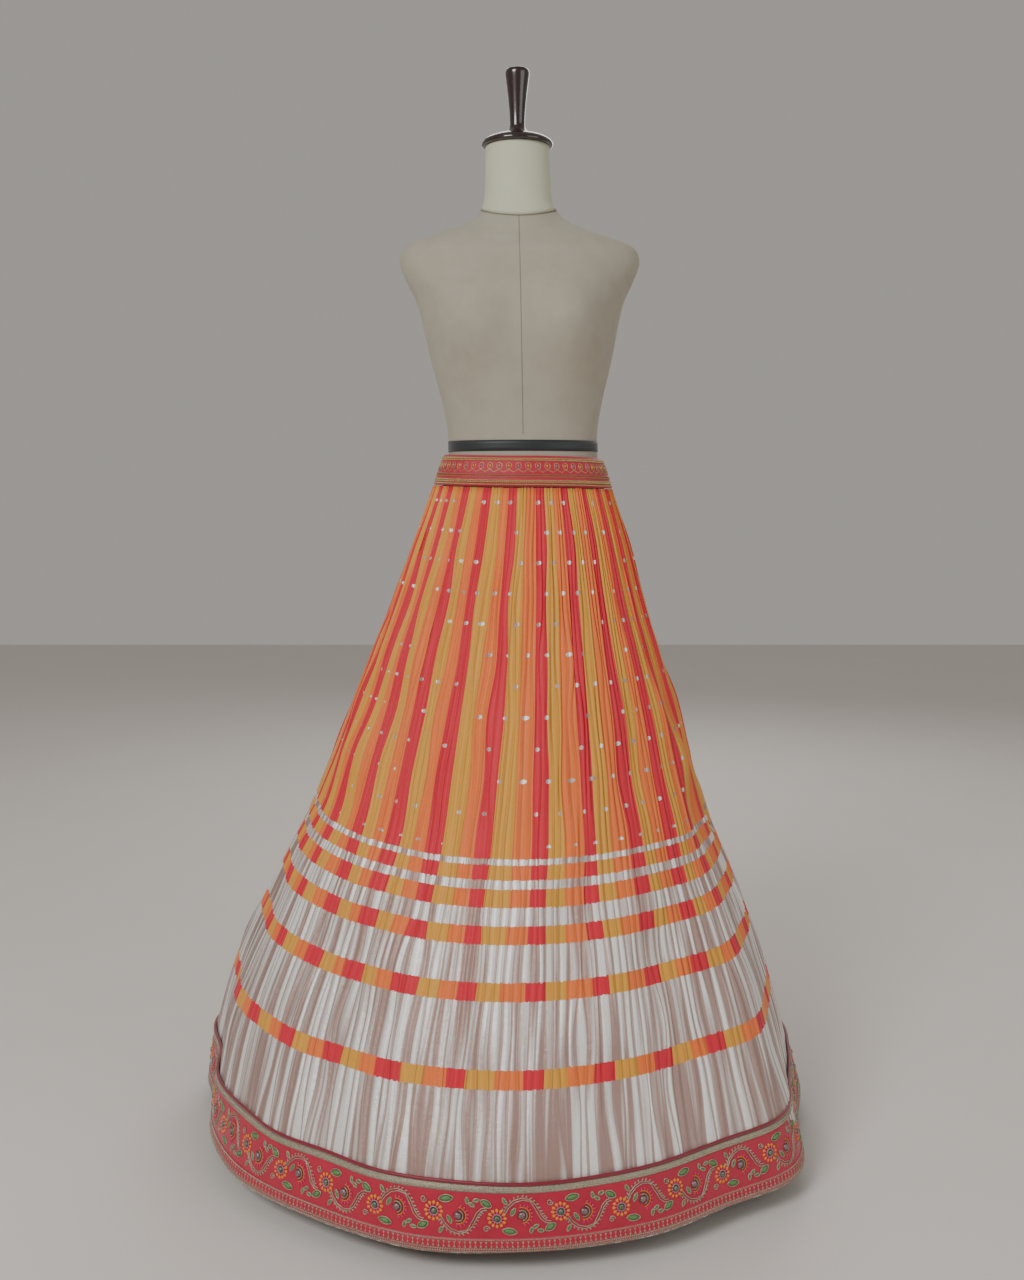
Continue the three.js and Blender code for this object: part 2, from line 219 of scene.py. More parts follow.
def stack_rings(name: str, grid: np.ndarray) -> Thing:
    """Close a stack of rings with a fan at each end.

    Args:
        name: The piece's name.
        grid: Points as [ring, column, xyz], rings going up and columns anticlockwise.

    Returns:
        The closed object.
    """
    rings, columns = grid.shape[:2]
    points = np.concatenate([grid.reshape(-1, 3), [grid[0].mean(0)], [grid[-1].mean(0)]])
    low, high, top = rings * columns, rings * columns + 1, (rings - 1) * columns
    faces = []
    for c in range(columns):
        n = (c + 1) % columns
        faces += [(a + c, a + n, a + columns + n, a + columns + c) for a in range(0, top, columns)]
        faces += [(low, n, c), (high, top + c, top + n)]
    return link_mesh(name, points, faces)


def lathe(name: str, profile: tuple[tuple[float, float], ...], low: Vector,
          sides: int = 96) -> Thing:
    """Turn a profile round a vertical axis.

    Args:
        name: The piece's name.
        profile: Radius and height pairs from bottom to top, in metres.
        low: Where the profile's zero stands.
        sides: Sides of the round.

    Returns:
        The closed object.
    """
    turn = np.linspace(0, 2 * math.pi, sides + 1)[:-1]
    radius, height = np.array(profile).T[..., None]
    grid = np.broadcast_arrays(radius * np.cos(turn), radius * np.sin(turn), height)
    return stack_rings(name, np.stack(grid, -1) + np.array(low))


# ------------------------------------------------------------------------------- surfaces
class SkirtSurface:
    """The skirt's smooth outer face, as in the part."""

    TWIST = math.radians(-3)
    SPREAD = 0.14

    def __init__(self) -> None:
        """Read the ring and flute tables."""
        self.rings = np.array(SKIRT_RINGS, float) * MM
        self.flutes = np.array(FLUTES, float)

    def place(self, turns: np.ndarray, at: np.ndarray) -> np.ndarray:
        """Find points of the smooth cloth.

        Args:
            turns: Turns round from the front centre.
            at: Metres along the cloth.

        Returns:
            Points as an array ending in xyz.
        """
        turns, at = np.broadcast_arrays(np.asarray(turns, float), np.asarray(at, float))
        share = at / SKIRT_LENGTH
        even = 2 * math.pi * turns
        gathered = self.SPREAD * np.sin(2 * even) * np.maximum(1 - share, 0) ** 1.5
        angle = even + gathered + self.TWIST * share
        side, ahead = np.sin(angle), np.cos(angle)
        ring = [ring_value(self.rings, c, at) for c in range(8)]
        upper = np.minimum(np.maximum(at / PIPING_AT, 0) ** 2.2, 1)
        lower = np.maximum(at - PIPING_AT, 0) / (SKIRT_LENGTH - PIPING_AT)
        out = np.zeros_like(at)
        for centre, half, piping, hem in self.flutes:
            off = (np.degrees(angle) - centre + 180) % 360 - 180
            out += ((1 - lower) * piping * upper + lower * hem) * MM * np.exp(-(off / half) ** 2)
        depth = np.where(ahead > 0, ring[3], ring[4]) + out
        lift = side * side * np.where(side < 0, ring[6], ring[7])
        return np.stack([ring[5] + (ring[2] + out) * side, -depth * ahead, ring[1] + lift], -1)

    def raised(self, turns: np.ndarray, at: np.ndarray, height: np.ndarray | float) -> np.ndarray:
        """Find points at a height above the smooth cloth.

        Args:
            turns: Turns round from the front centre.
            at: Metres along the cloth.
            height: Metres above the outer face.

        Returns:
            Points as an array ending in xyz.
        """
        turns, at = np.broadcast_arrays(np.asarray(turns, float), np.asarray(at, float))
        across = self.place(turns + MM, at) - self.place(turns - MM, at)
        down = self.place(turns, at + MM) - self.place(turns, at - MM)
        normal = np.cross(down, across)
        normal /= np.linalg.norm(normal, axis=-1, keepdims=True)
        return self.place(turns, at) + normal * np.asarray(height)[..., None]


class WaistSurface:
    """The waistband's outer face."""

    FOOT = (138.0, 100.5, 104.5)
    TOP = (122.0, 92.0, 94.0)
    HEIGHT = 0.046
    LOW = 1.0071

    def raised(self, turns: np.ndarray, at: np.ndarray, height: np.ndarray | float) -> np.ndarray:
        """Find points at a height above the band.

        Args:
            turns: Turns round from the front centre.
            at: Metres down from the band's top edge.
            height: Metres above the outer face.

        Returns:
            Points as an array ending in xyz.
        """
        angle = 2 * math.pi * np.asarray(turns, float)
        share = 1 - np.asarray(at, float) / self.HEIGHT
        width, front, back = (
            np.multiply(MM, f + (t - f) * share) for f, t in zip(self.FOOT, self.TOP)
        )
        side, ahead = np.sin(angle), np.cos(angle)
        depth = np.where(ahead > 0, front, back) + height
        lift = side * side * np.where(side < 0, 0.003, -0.003)
        up = self.LOW + self.HEIGHT * share + lift
        return np.stack(np.broadcast_arrays((width + height) * side, -depth * ahead, up), -1)


@dataclass
class Band:
    """A flat strip of trim that is laid round a surface, in metres across and along it."""

    surface: SkirtSurface | WaistSurface
    start: float
    length: float
    first_turn: float = 0.25

    def place(self, x: np.ndarray, y: np.ndarray, height: np.ndarray | float) -> np.ndarray:
        """Lay flat points on the surface.

        Args:
            x: Metres along the trim from its first turn.
            y: Metres down from its start.
            height: Metres above the surface.

        Returns:
            Points as an array ending in xyz.
        """
        return self.surface.raised(
            self.first_turn + np.asarray(x) / self.length, self.start + np.asarray(y), height
        )

    def strip(self, name: str, top: float, bottom: float, above: float, thick: float,
              columns: int = 720, rows: int = 4) -> Thing:
        """Make a closed strip of cloth on the band.

        Args:
            name: The piece's name.
            top: Its upper edge, metres down from the start.
            bottom: Its lower edge.
            above: Height of its underside.
            thick: Its thickness.
            columns: Steps along it.
            rows: Rows of points across it.

        Returns:
            The object, with a UV map in metres.
        """
        gap = 0.0002
        x, y = np.meshgrid(
            np.linspace(gap, self.length - gap, columns + 1), np.linspace(top, bottom, rows),
            indexing="ij"
        )
        obj = link_mesh(name, *shell(self.place(x, y, above + thick), self.place(x, y, above)))
        store_uv(obj, x, y)
        return obj


def store_uv(obj: Thing, u: np.ndarray, v: np.ndarray) -> None:
    """Give both sides of a shell a UV map called cloth.

    Args:
        obj: The mesh object.
        u: The first coordinate of each point of the outer grid.
        v: The second coordinate.
    """
    flat = np.stack([u, v], -1).reshape(-1, 2)
    layer = obj.data.uv_layers.new(name="cloth")
    index = np.empty(len(obj.data.loops), np.int32)
    obj.data.loops.foreach_get("vertex_index", index)
    both = np.concatenate([flat, flat]).astype(np.float32)
    layer.data.foreach_set("uv", both[index].ravel())


# ------------------------------------------------------------------------------- finishes
class Weave(Enum):
    """The kinds of plain cloth on the object."""

    SILK = "dupion silk"
    COTTON = "cotton covering cloth"
    SATIN = "satin"


@dataclass(frozen=True)
class Finish:
    """Two close tones mixed by a pattern, with a fine relief where there is one."""

    name: str
    colour: str
    shade: str

    def pattern(self, node: partial, place: Socket) -> tuple:
        """Make the pattern.

        Args:
            node: add_node with its tree given.
            place: Places on the piece, in metres.

        Returns:
            The socket that mixes the tones, and the bump node's inputs or None.
        """
        raise NotImplementedError

    def constants(self) -> dict[str, float]:
        """Give the shader's plain values.

        Returns:
            Values by the name of the shader's input.
        """
        raise NotImplementedError

    def build(self) -> Material:
        """Make the material.

        Returns:
            The material.
        """
        material, tree, surface = new_material(self.name)
        node = partial(add_node, tree)
        factor, relief = self.pattern(node, node("ShaderNodeTexCoord", out="Object"))
        tones = {0: factor, 6: linear(self.shade), 7: linear(self.colour)}
        colour = node("ShaderNodeMix", tones, 2, data_type="RGBA")
        tree.links.new(colour, surface.inputs["Base Color"])
        if relief:
            tree.links.new(node("ShaderNodeBump", relief), surface.inputs["Normal"])
        for key, value in self.constants().items():
            surface.inputs[key].default_value = value
        return material


@dataclass(frozen=True)
class ClothFinish(Finish):
    """Plain woven cloth: fine threads, slight slubs and a soft sheen."""

    weave: Weave
    thread_mm: float = 0.8
    roughness: float = 0.6
    slub_mm: float = 200 / 7

    def pattern(self, node: partial, place: Socket) -> tuple:
        """Mix the tones by slubs and raise the threads; see Finish.pattern."""
        at = {"Vector": place}
        slub = node(NOISE, at | {"Scale": 1 / (self.slub_mm * MM), "Detail": 6.0})
        thread = node(NOISE, at | {"Scale": 1 / (self.thread_mm * MM), "Detail": 2.0})
        return slub, {"Height": thread, "Strength": 0.25, "Distance": 0.0006}

    def constants(self) -> dict[str, float]:
        """Give the roughness and the sheen, which is least on cotton."""
        sheen = 0.1 if self.weave is Weave.COTTON else 0.3
        return {"Roughness": self.roughness, "Sheen Weight": sheen}


@dataclass(frozen=True)
class ThreadFinish(Finish):
    """Embroidery thread or metallic cord: twisted strands, their lighter tone a painted highlight
    in short dashes.
    """

    metallic: float = 0.0
    roughness: float = 0.45
    strand_mm: float = 1.1

    def pattern(self, node: partial, place: Socket) -> tuple:
        """Mix the tones by strands and raise them; see Finish.pattern."""
        strand = node(NOISE, {"Vector": place, "Scale": 1 / (self.strand_mm * MM), "Detail": 3.0})
        # Painted highlight on the strands that the real bump raises, painted shade between them.
        sharp = node("ShaderNodeMapRange", {"Value": strand, "From Min": 0.38, "From Max": 0.62})
        return sharp, {"Height": strand, "Strength": 0.5, "Distance": 0.0008}

    def constants(self) -> dict[str, float]:
        """Give how metallic and how rough the thread is."""
        return {"Metallic": self.metallic, "Roughness": self.roughness}


@dataclass(frozen=True)
class LacquerFinish(Finish):
    """Lacquered wood or coated steel: an even dark ground under a clear coat."""

    roughness: float = 0.25
    coat: float = 0.8
    metallic: float = 0.0
    grain: tuple[float, float, float] = (60.0, 60.0, 6.0)

    def pattern(self, node: partial, place: Socket) -> tuple:
        """Mix the tones by upright grain, without relief; see Finish.pattern."""
        stretched = node("ShaderNodeMapping", {"Vector": place, "Scale": self.grain})
        return node(NOISE, {"Vector": stretched, "Scale": 1.0, "Detail": 5.0}), None

    def constants(self) -> dict[str, float]:
        """Give the ground's and the clear coat's values."""
        return {"Roughness": self.roughness, "Coat Weight": self.coat, "Coat Roughness": 0.08,
                "Metallic": self.metallic}


@dataclass(frozen=True)
class BrocadeFinish:
    """Crushed striped silk brocade with rows woven in flat metal thread (zari)."""

    name: str = "striped_zari_brocade"
    stripes: tuple[str, ...] = ("D9982F", "E8702A", "D1102C")  # mustard, orange, red
    # The zari's two tones are painted light: silver is its painted reflection and taupe its
    # painted shade.
    silver: str = "EDEBE6"
    painted_shade_taupe: str = "A4867D"
    # Where metal and silk rows start by turns, in mm along the cloth.
    rows: tuple[float, ...] = (543.7, 551.2, 570.1, 582.1, 606.8, 633.3, 658.9, 708.0, 732.9,
                               818.6, 842.7)
    drift: float = 0.22  # how far a stripe's edge wanders, in repeats
    crease: float = 0.84  # where in a pleat its crease starts
    painted_lit_face: float = 0.72  # how much of a pleat faces the light and gets the zari's painted highlight
    butti_rows: float = 0.046
    butti_radius: float = 0.0031
    butti_end: float = 0.53
    repeat_top: float = 0.036  # width of a repeat at the waist
    repeat_growth: float = 0.064  # how much a repeat widens in a metre
    ragged: float = 0.006  # how uneven the metal rows' edges are

    def build(self) -> Material:
        """Make the material; its UV map holds colour repeats across and metres along.

        Returns:
            The material.
        """
        material, tree, surface = new_material(self.name)
        node = partial(add_node, tree)
        uv = node("ShaderNodeUVMap", uv_map="cloth")
        u, v = node("ShaderNodeSeparateXYZ", {0: uv}).node.outputs[:2]
        place = node("ShaderNodeTexCoord", out="Object")
        pleat = node(MATH, {0: u, 1: float(FINE_PLEATS)}, operation="MULTIPLY")
        phase = node(MATH, {0: pleat}, operation="FRACT")
        number = node(MATH, {0: pleat}, operation="FLOOR")
        chance = node(CHANCE, {"W": number}, noise_dimensions="1D")
        silk = self.silk(node, uv, (u, v, pleat), (phase, chance))
        spot = self.buttis(node, u, v)
        # The metal rows, ragged at their edges.
        wave = node(NOISE, {"Vector": place, "Scale": 420.0, "Detail": 2.0})
        wave = node(MATH, {0: wave, 1: 0.5}, operation="SUBTRACT")
        level = node(MATH, {0: wave, 1: self.ragged, 2: v}, operation="MULTIPLY_ADD")
        level = node(MATH, {0: level, 1: SKIRT_LENGTH}, operation="DIVIDE")
        stops = [(0.0, "000000")]
        stops += [(at * MM / SKIRT_LENGTH, "000000" if i % 2 else "FFFFFF")
                  for i, at in enumerate(self.rows)]
        metal = node("ShaderNodeValToRGB", {0: level}, stops=stops)
        # Painted reflection on the flat thread: painted bright silver on some pleats and not on
        # others, most on the face of each, with painted glints; the rest is painted shade in
        # taupe.
        streak_x = node(MATH, {0: pleat, 1: 0.83}, operation="MULTIPLY")
        streak_y = node(MATH, {0: v, 1: 2.6}, operation="MULTIPLY")
        streak_at = node("ShaderNodeCombineXYZ", {0: streak_x, 1: streak_y})
        streak = node(NOISE, {"Vector": streak_at, "Scale": 1.0, "Detail": 2.0})
        streak = node(MATH, {0: chance, 1: 0.16, 2: streak}, operation="MULTIPLY_ADD")
        painted_streaks = node("ShaderNodeMapRange", {"Value": streak, "From Min": 0.5, "From Max": 0.66})
        face = node(MATH, {0: phase, 1: self.painted_lit_face}, operation="LESS_THAN")
        face = node(MATH, {0: face, 1: 0.8, 2: 0.2}, operation="MULTIPLY_ADD")
        # This noise gives both the painted glints on the zari and a real relief.
        grain = node(NOISE, {"Vector": place, "Scale": 700.0, "Detail": 2.0})
        glint = node(MATH, {0: grain, 1: 0.9, 2: 0.55}, operation="MULTIPLY_ADD")
        painted_shine = node(MATH, {0: painted_streaks, 1: face}, operation="MULTIPLY")
        painted_shine = node(MATH, {0: painted_shine, 1: glint}, operation="MULTIPLY")
        zari = node("ShaderNodeMix", {0: painted_shine, 6: linear(self.painted_shade_taupe), 7: linear(self.silver)}, 2,
                    data_type="RGBA", clamp_factor=True)
        both = node(MATH, {0: metal, 1: spot}, operation="MAXIMUM")
        colour = node("ShaderNodeMix", {0: both, 6: silk, 7: zari}, 2, data_type="RGBA")
        shine = node(MATH, {0: both, 1: 0.35}, operation="MULTIPLY")
        rough = node(MATH, {0: both, 1: -0.2, 2: 0.62}, operation="MULTIPLY_ADD")
        crumple = node(NOISE, {"Vector": place, "Scale": 130.0, "Detail": 4.0})
        coarse = node(MATH, {0: both, 1: 0.5, 2: 0.2}, operation="MULTIPLY_ADD")
        relief = node(MATH, {0: grain, 1: coarse, 2: crumple}, operation="MULTIPLY_ADD")
        bump = node("ShaderNodeBump", {"Height": relief, "Strength": 0.35, "Distance": 0.002})
        for key, socket in (("Base Color", colour), ("Metallic", shine), ("Roughness", rough),
                            ("Normal", bump)):
            tree.links.new(socket, surface.inputs[key])
        surface.inputs["Sheen Weight"].default_value = 0.25
        return material

    def silk(self, node: partial, uv: Socket, across: tuple,
             pleat: tuple) -> Socket:
        """Make the striped silk, its slubs running down and painted shade darkening the crease of
        most pleats.

        Args:
            node: add_node with its tree given.
            uv: The cloth's UV map.
            across: Repeats across, metres along and pleats across.
            pleat: The place within a pleat from 0 to 1, and the pleat's own random value.

        Returns:
            The colour.
        """
        u, v, pleats = across
        phase, chance = pleat
        drift = node(NOISE, {"Vector": uv, "Scale": 1.7, "Detail": 1.0})
        drift = node(MATH, {0: drift, 1: 0.5}, operation="SUBTRACT")
        stripe = node(MATH, {0: drift, 1: self.drift, 2: u}, operation="MULTIPLY_ADD")
        stripe = node(MATH, {0: stripe}, operation="FRACT")
        stops = [(i / len(self.stripes), code) for i, code in enumerate(self.stripes)]
        stripes = node("ShaderNodeValToRGB", {0: stripe}, stops=stops)
        fibre_x = node(MATH, {0: pleats, 1: 5.0}, operation="MULTIPLY")
        fibre_y = node(MATH, {0: v, 1: 14.0}, operation="MULTIPLY")
        fibre_at = node("ShaderNodeCombineXYZ", {0: fibre_x, 1: fibre_y})
        fibre = node(NOISE, {"Vector": fibre_at, "Scale": 1.0, "Detail": 3.0})
        # Painted shade: the crease of most pleats is painted darker where the fold's shadow falls;
        # the fibre streaks are the silk's own tone.
        folded = node(MATH, {0: phase, 1: self.crease}, operation="GREATER_THAN")
        kept = node(MATH, {0: chance, 1: 0.35}, operation="GREATER_THAN")
        dark = node(MATH, {0: folded, 1: kept}, operation="MULTIPLY")
        shade = node(MATH, {0: fibre, 1: 0.42, 2: 0.79}, operation="MULTIPLY_ADD")
        shade = node(MATH, {0: dark, 1: -0.34, 2: shade}, operation="MULTIPLY_ADD")
        grey = node("ShaderNodeCombineColor", {0: shade, 1: shade, 2: shade})
        return node("ShaderNodeMix", {0: 1.0, 6: stripes, 7: grey}, 2, data_type="RGBA",
                    blend_type="MULTIPLY")

    def buttis(self, node: partial, u: Socket,
               v: Socket) -> Socket:
        """Make small woven spots in staggered rows above the metal rows, some left out.

        Args:
            node: add_node with its tree given.
            u: Colour repeats across the cloth; there are two spots to each.
            v: Metres along it.

        Returns:
            1 on a spot and 0 elsewhere.
        """
        line = node(MATH, {0: v, 1: self.butti_rows}, operation="DIVIDE")
        row = node(MATH, {0: line}, operation="FLOOR")
        cell = node(MATH, {0: row, 1: 0.5}, operation="MULTIPLY")
        cell = node(MATH, {0: u, 1: 2.0, 2: cell}, operation="MULTIPLY_ADD")
        column = node(MATH, {0: cell}, operation="FLOOR")
        repeat = node(MATH, {0: v, 1: self.repeat_growth, 2: self.repeat_top},
                      operation="MULTIPLY_ADD")
        across = node(MATH, {0: cell}, operation="FRACT")
        across = node(MATH, {0: across, 1: 0.5, 2: -0.25}, operation="MULTIPLY_ADD")
        across = node(MATH, {0: across, 1: repeat}, operation="MULTIPLY")
        down = node(MATH, {0: line}, operation="FRACT")
        down = node(MATH, {0: down, 1: 0.5}, operation="SUBTRACT")
        down = node(MATH, {0: down, 1: self.butti_rows}, operation="MULTIPLY")
        offset = node("ShaderNodeCombineXYZ", {0: across, 1: down})
        away = node("ShaderNodeVectorMath", {0: offset}, "Value", operation="LENGTH")
        key = node(MATH, {0: row, 1: 57.0, 2: column}, operation="MULTIPLY_ADD")
        chance = node(CHANCE, {"W": key}, noise_dimensions="1D")
        kept = node(MATH, {0: chance, 1: 0.3}, operation="GREATER_THAN")
        near = node(MATH, {0: away, 1: self.butti_radius}, operation="LESS_THAN")
        above = node(MATH, {0: v, 1: self.butti_end}, operation="LESS_THAN")
        spot = node(MATH, {0: near, 1: kept}, operation="MULTIPLY")
        return node(MATH, {0: spot, 1: above}, operation="MULTIPLY")


def new_material(name: str) -> tuple[Material, Tree, bpy.types.Node]:
    """Start a material.

    Args:
        name: The material's name.

    Returns:
        The material, its tree and its surface shader.
    """
    material = bpy.data.materials.new(name)
    material.use_nodes = True
    return material, material.node_tree, material.node_tree.nodes["Principled BSDF"]


def dome(name: str, outline: list[tuple[float, float]], rise: float) -> Thing:
    """Make a small closed domed piece: an outline, a raised middle and a flat back.

    Args:
        name: The piece's name.
        outline: Points round it, anticlockwise, in a unit square about the origin.
        rise: Height of its middle.

    Returns:
        The object.
    """
    count = len(outline)
    points = [(x, y, 0.0) for x, y in outline] + [
        (x * 0.62, y * 0.62, rise * 0.8) for x, y in outline
    ]
    points += [(0.0, 0.0, rise), (0.0, 0.0, -0.02)]
    faces = []
    for i in range(count):
        j = (i + 1) % count
        faces += [(i, j, count + j, count + i), (count + i, count + j, 2 * count)]
        faces += [(j, i, 2 * count + 1)]
    return link_mesh(name, np.array(points), faces)


def oval(
    count: int, long: float = 0.5, wide: float = 0.5, point: float = 0.0
) -> list[tuple[float, float]]:
    """Draw an oval or, with point above 0, a leaf.

    Args:
        count: Number of points.
        long: Half its length.
        wide: Half its width.
        point: How sharply its two ends narrow.

    Returns:
        The outline's points.
    """
    turns = [2 * math.pi * i / count for i in range(count)]
    return [(long * math.cos(t), wide * math.sin(t) * abs(math.sin(t)) ** point) for t in turns]


def arc(
    x: float, y: float, radius: float, start: float, end: float, count: int = 14
) -> np.ndarray:
    """Draw an arc on the flat band.

    Args:
        x: Its centre across.
        y: Its centre down.
        radius: Its radius.
        start: First angle in degrees.
        end: Last angle in degrees.
        count: Number of points.

    Returns:
        Its points.
    """
    turn = np.radians(np.linspace(start, end, count))
    return np.stack([x + radius * np.cos(turn), y - radius * np.sin(turn)], -1)


class Stitch(Enum):
    """Outline and rise of the small sewn pieces, each 1 m long until it is sized."""

    BEAD = (oval(6, 0.5, 0.3), 0.3)
    PETAL = (oval(8), 0.28)
    DROP = (oval(8), 0.3)
    BLADE = (oval(10, point=0.5), 0.2)
    WEDGE = ([(0.5, -0.35), (0.5, 0.35), (-0.5, 0.0)], 0.15)


# ------------------------------------------------------------------------------- geometry nodes
class Sewing:
    """Geometry node trees that sweep cords along lines and repeat small pieces at points."""

    def __init__(self) -> None:
        """Build the two trees."""
        self.cord_tree = self.build_cord()
        self.scatter_tree = self.build_scatter()

    @staticmethod
    def start(name: str, inputs: list[tuple[str, str]]) -> tuple[Tree, bpy.types.Node]:
        """Start a tree with named inputs.

        Args:
            name: The tree's name.
            inputs: Pairs of input name and socket type.

        Returns:
            The tree and its input node.
        """
        tree = bpy.data.node_groups.new(name, "GeometryNodeTree")
        tree.interface.new_socket("Geometry", in_out="INPUT", socket_type="NodeSocketGeometry")
        for label, kind in inputs:
            tree.interface.new_socket(label, in_out="INPUT", socket_type=kind)
        tree.interface.new_socket("Geometry", in_out="OUTPUT", socket_type="NodeSocketGeometry")
        return tree, tree.nodes.new("NodeGroupInput")

    @staticmethod
    def close(tree: Tree, geometry: Socket, finish: Socket) -> None:
        """End a tree with real geometry and its material.

        Args:
            tree: The tree.
            geometry: What it made.
            finish: The material input.
        """
        real = add_node(tree, "GeometryNodeRealizeInstances", {"Geometry": geometry})
        dressed = add_node(tree, "GeometryNodeSetMaterial", {"Geometry": real, "Material": finish})
        add_node(tree, "NodeGroupOutput", {0: dressed})

    def build_cord(self) -> Tree:
        """Make the tree that turns lines into round cords."""
        tree, source = self.start(
            "cord",
            [
                ("Cord radius", "NodeSocketFloat"), ("Cord sides", "NodeSocketInt"),
                ("Finish", "NodeSocketMaterial")
            ]
        )
        line = add_node(tree, "GeometryNodeMeshToCurve", {"Mesh": source.outputs["Geometry"]})
        ring = add_node(
            tree, "GeometryNodeCurvePrimitiveCircle",
            {"Resolution": source.outputs["Cord sides"], "Radius": source.outputs["Cord radius"]}
        )
        tube = add_node(
            tree, "GeometryNodeCurveToMesh",
            {"Curve": line, "Profile Curve": ring, "Fill Caps": True}
        )
        self.close(tree, tube, source.outputs["Finish"])
        return tree

    def build_scatter(self) -> Tree:
        """Make the tree that puts a small piece at each point, turned and sized."""
        tree, source = self.start(
            "repeat", [("Piece", "NodeSocketObject"), ("Finish", "NodeSocketMaterial")]
        )
        piece = add_node(
            tree, "GeometryNodeObjectInfo", {"Object": source.outputs["Piece"]}, "Geometry"
        )
        turn = add_node(
            tree, "GeometryNodeInputNamedAttribute", {"Name": "turn"}, data_type="FLOAT_VECTOR"
        )
        size = add_node(
            tree, "GeometryNodeInputNamedAttribute", {"Name": "size"}, data_type="FLOAT_VECTOR"
        )
        placed = add_node(
            tree, "GeometryNodeInstanceOnPoints",
            {
                "Points": source.outputs["Geometry"], "Instance": piece, "Rotation": turn,
                "Scale": size
            }
        )
        self.close(tree, placed, source.outputs["Finish"])
        return tree

    @staticmethod
    def run(name: str, source: Thing, tree: Tree, inputs: dict) -> Thing:
        """Evaluate a tree on a mesh and keep the result as a plain mesh.

        Args:
            name: The piece's name.
            source: The lines or points, which are removed.
            tree: The tree.
            inputs: Input names to values.

        Returns:
            The finished object.
        """
        modifier = source.modifiers.new("make", "NODES")
        modifier.node_group = tree
        for item in tree.interface.items_tree:
            if item.in_out == "INPUT" and item.name in inputs:
                modifier[item.identifier] = inputs[item.name]
        evaluated = source.evaluated_get(bpy.context.evaluated_depsgraph_get())
        mesh = bpy.data.meshes.new_from_object(evaluated)
        mesh.name = name
        source.modifiers.remove(modifier)
        bpy.data.objects.remove(source)
        obj = bpy.data.objects.new(name, mesh)
        bpy.context.scene.collection.objects.link(obj)
        return obj

    def cords(self, name: str, lines: list[np.ndarray], radius: float,
              finish: Material, slot: str, sides: int = 5, closed: bool = False,
              replaces: tuple[str, ...] = ()) -> None:
        """Sweep cords along lines.

        Args:
            name: The piece's name.
            lines: Arrays of points in metres.
            radius: The cord's radius.
            finish: Its material.
            slot: The record's material slot; not used.
            sides: Sides of its section.
            closed: Whether each line joins its own start.
            replaces: The CAD nodes that it replaces.
        """
        mesh = bpy.data.meshes.new(name)
        points, edges = [], []
        for line in lines:
            first = len(points)
            points += line.tolist()
            edges += [(first + i, first + i + 1) for i in range(len(line) - 1)]
            if closed:
                edges.append((len(points) - 1, first))
        mesh.from_pydata(points, edges, [])
        source = bpy.data.objects.new(name + "_lines", mesh)
        bpy.context.scene.collection.objects.link(source)
        settings = {"Cord radius": radius, "Cord sides": sides, "Finish": finish}
        obj = self.run(name, source, self.cord_tree, settings)
        obj.data.shade_smooth()
        dress(obj, replaces=replaces)

    def scatter(self, name: str, band: Band, places: list[tuple], stitch: Stitch,
                finish: Material, height: float, slot: str) -> None:
        """Repeat a small piece over a band.

        Args:
            name: The made piece's name.
            band: The band that it lies on.
            places: Rows of x, y, angle in radians, length and width, all flat on the band.
            stitch: The small piece's shape.
            finish: Its material.
            height: Height above the band's surface.
            slot: The record's material slot; not used.
        """
        rows = np.array(places, float)
        x, y, angle, long, wide = rows.T
        step = 0.0005
        centre = band.place(x, y, height)
        right = band.place(x + step, y, height) - centre
        up = band.place(x, y - step, height) - centre
        turns, sizes = [], []
        for i in range(len(rows)):
            a, b = Vector(right[i]).normalized(), Vector(up[i]).normalized()
            out = a.cross(b).normalized()
            b = out.cross(a)
            axis = a * math.cos(angle[i]) + b * math.sin(angle[i])
            basis = Matrix((axis, out.cross(axis), out)).transposed()
            turns += list(basis.to_euler())
            sizes += [long[i], wide[i], (long[i] + wide[i]) / 2]
        mesh = bpy.data.meshes.new(name)
        mesh.from_pydata(centre.tolist(), [], [])
        mesh.attributes.new("turn", "FLOAT_VECTOR", "POINT").data.foreach_set("vector", turns)
        mesh.attributes.new("size", "FLOAT_VECTOR", "POINT").data.foreach_set("vector", sizes)
        source = bpy.data.objects.new(name + "_points", mesh)
        bpy.context.scene.collection.objects.link(source)
        piece = dome("stitch", *stitch.value)
        obj = self.run(name, source, self.scatter_tree, {"Piece": piece, "Finish": finish})
        bpy.data.objects.remove(piece)
        dress(obj)


def dress(obj: Thing, material: Material | None = None,
          replaces: tuple[str, ...] = ()) -> None:
    """Give a finished piece its material, body and the nodes that it stands for.

    Args:
        obj: The piece.
        material: Its material, if it has none yet.
        replaces: The CAD nodes that it replaces.
    """
    if material:
        obj.data.materials.clear()
        obj.data.materials.append(material)
    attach(obj, BODY)
    if replaces:
        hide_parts(*replaces)
    LOG.info("%s: %d faces", obj.name, len(obj.data.polygons))


